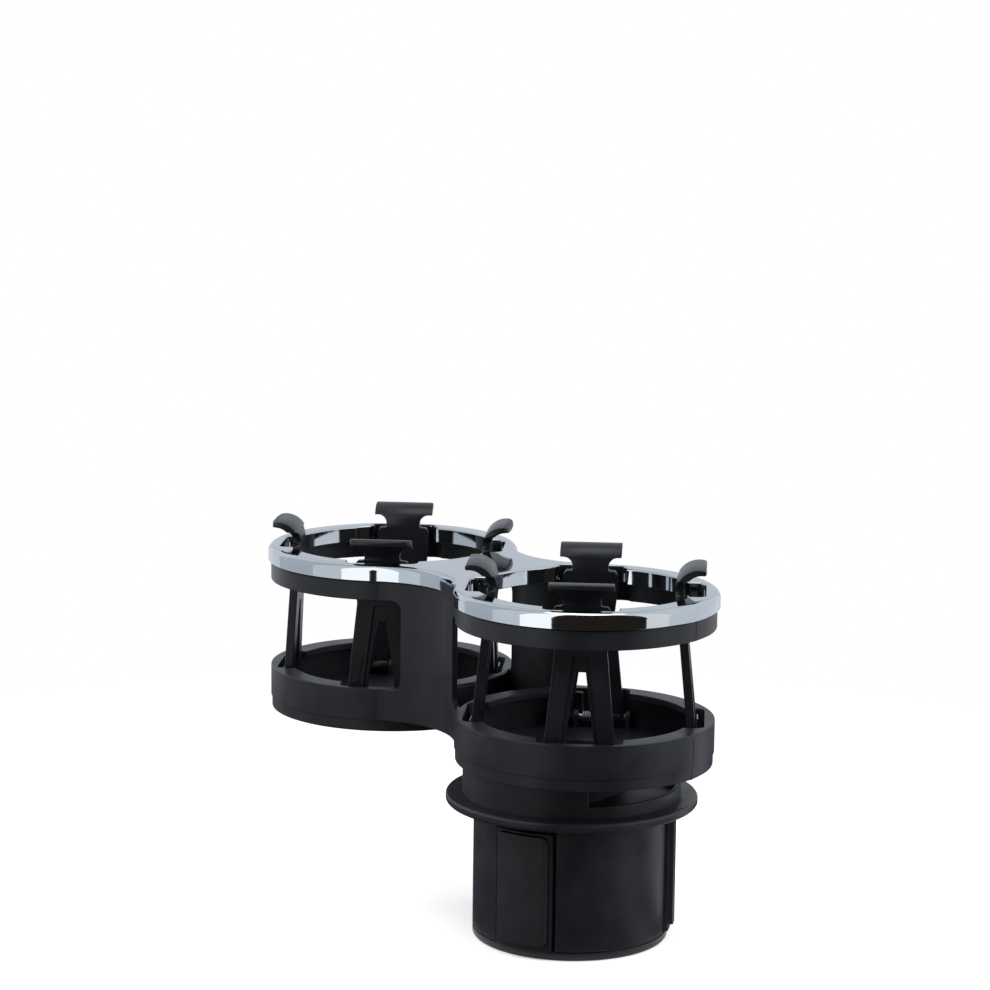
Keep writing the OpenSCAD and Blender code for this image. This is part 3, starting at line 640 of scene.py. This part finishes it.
def makeFloor(look):
    # white as the background is, except near the object, where it takes the soft shadow
    bm = bmesh.new()
    bmesh.ops.create_grid(bm, x_segments=8, y_segments=8, size=look["half"])
    mesh = bpy.data.meshes.new("floor")
    bm.to_mesh(mesh)
    bm.free()
    floor = bpy.data.objects.new("floor", mesh)
    floor.location.z = cadBox[0][2] - look["below"] * mm
    bpy.context.scene.collection.objects.link(floor)
    material, tree = blankMaterial("whiteTable")
    board = addNode(tree, "ShaderNodeBsdfDiffuse", {"Color": hexColour(look["board"])})
    fill = addNode(tree, "ShaderNodeEmission", {"Color": (1, 1, 1, 1), "Strength": look["fill"]})
    near = addNode(tree, "ShaderNodeAddShader", {0: board.outputs[0], 1: fill.outputs[0]})
    white = addNode(tree, "ShaderNodeEmission", {"Color": (1, 1, 1, 1), "Strength": 1.0})
    spot = addNode(tree, "ShaderNodeTexCoord").outputs["Object"]
    away = addNode(tree, "ShaderNodeVectorMath", {0: spot, 1: look["centre"]}, operation="DISTANCE").outputs["Value"]
    far = addNode(tree, "ShaderNodeMapRange", {0: away, 1: look["shadow"][0], 2: look["shadow"][1], 3: 0.0, 4: 1.0},
                  interpolation_type="SMOOTHSTEP").outputs[0]
    shown = addNode(tree, "ShaderNodeMixShader", {0: far, 1: near.outputs[0], 2: white.outputs[0]})
    closeMaterial(tree, addNode(tree, "ShaderNodeMixShader",
                                {0: seenWhite(tree), 1: board.outputs[0], 2: shown.outputs[0]}))
    floor.data.materials.append(material)


def makeCard(look, name, start, end, table, tableGlow, wall, wallGlow):
    # a curved card that lies on the table, stands up and leans over the object, seen only in reflections
    bm = bmesh.new()
    profile = ((look["cardInner"], look["cardLow"]), (look["cardReach"], look["cardLow"]),
               (look["cardReach"], look["cardHigh"]), look["roof"])
    rows = []
    for i in range(look["cardSteps"] + 1):
        a = fromCamera(start + (end - start) * i / look["cardSteps"])
        rows.append([bm.verts.new((r * math.cos(a), r * math.sin(a), z)) for r, z in profile])
    for left, right in zip(rows, rows[1:]):
        for j in range(len(profile) - 1):
            face = bm.faces.new((left[j], right[j], right[j + 1], left[j + 1]))
            face.material_index = min(j, 1)
    mesh = bpy.data.meshes.new(name)
    bm.to_mesh(mesh)
    bm.free()
    card = bpy.data.objects.new(name, mesh)
    bpy.context.scene.collection.objects.link(card)
    for label, colour, strength in (("Table", table, tableGlow), ("Wall", wall, wallGlow)):
        material, tree = blankMaterial(name + label)
        closeMaterial(tree, addNode(tree, "ShaderNodeEmission", {"Color": hexColour(colour), "Strength": strength}))
        mesh.materials.append(material)
    card.visible_camera = card.visible_diffuse = card.visible_shadow = card.visible_transmission = False


def makeWorld(look):
    world = bpy.data.worlds.new("studioWorld")
    bpy.context.scene.world = world
    world.use_nodes = True
    tree = world.node_tree
    tree.nodes.clear()
    plain = addNode(tree, "ShaderNodeBackground", {"Color": (1, 1, 1, 1), "Strength": look["world"]})
    white = addNode(tree, "ShaderNodeBackground", {"Color": (1, 1, 1, 1), "Strength": 1.0})
    mix = addNode(tree, "ShaderNodeMixShader", {0: seenWhite(tree), 1: plain.outputs[0], 2: white.outputs[0]})
    addNode(tree, "ShaderNodeOutputWorld", {"Surface": mix.outputs[0]})


def makeLamps(look):
    middle = Vector(look["centre"])
    for name, (turn, lift), distance, size, power in look["lamps"]:
        a, e = fromCamera(turn), math.radians(lift)
        aim = Vector((math.cos(a) * math.cos(e), math.sin(a) * math.cos(e), math.sin(e)))
        data = bpy.data.lights.new(name, "AREA")
        data.shape, data.size, data.energy = "SQUARE", size, power
        lamp = bpy.data.objects.new(name, data)
        lamp.location = middle + aim * distance
        lamp.rotation_euler = aim.to_track_quat("Z", "Y").to_euler()
        bpy.context.scene.collection.objects.link(lamp)


makeFloor(studio)
for card in studio["cards"]:
    makeCard(studio, *card)
makeWorld(studio)
makeLamps(studio)
bpy.context.scene.view_settings.view_transform = "Standard"
print("studio lit")
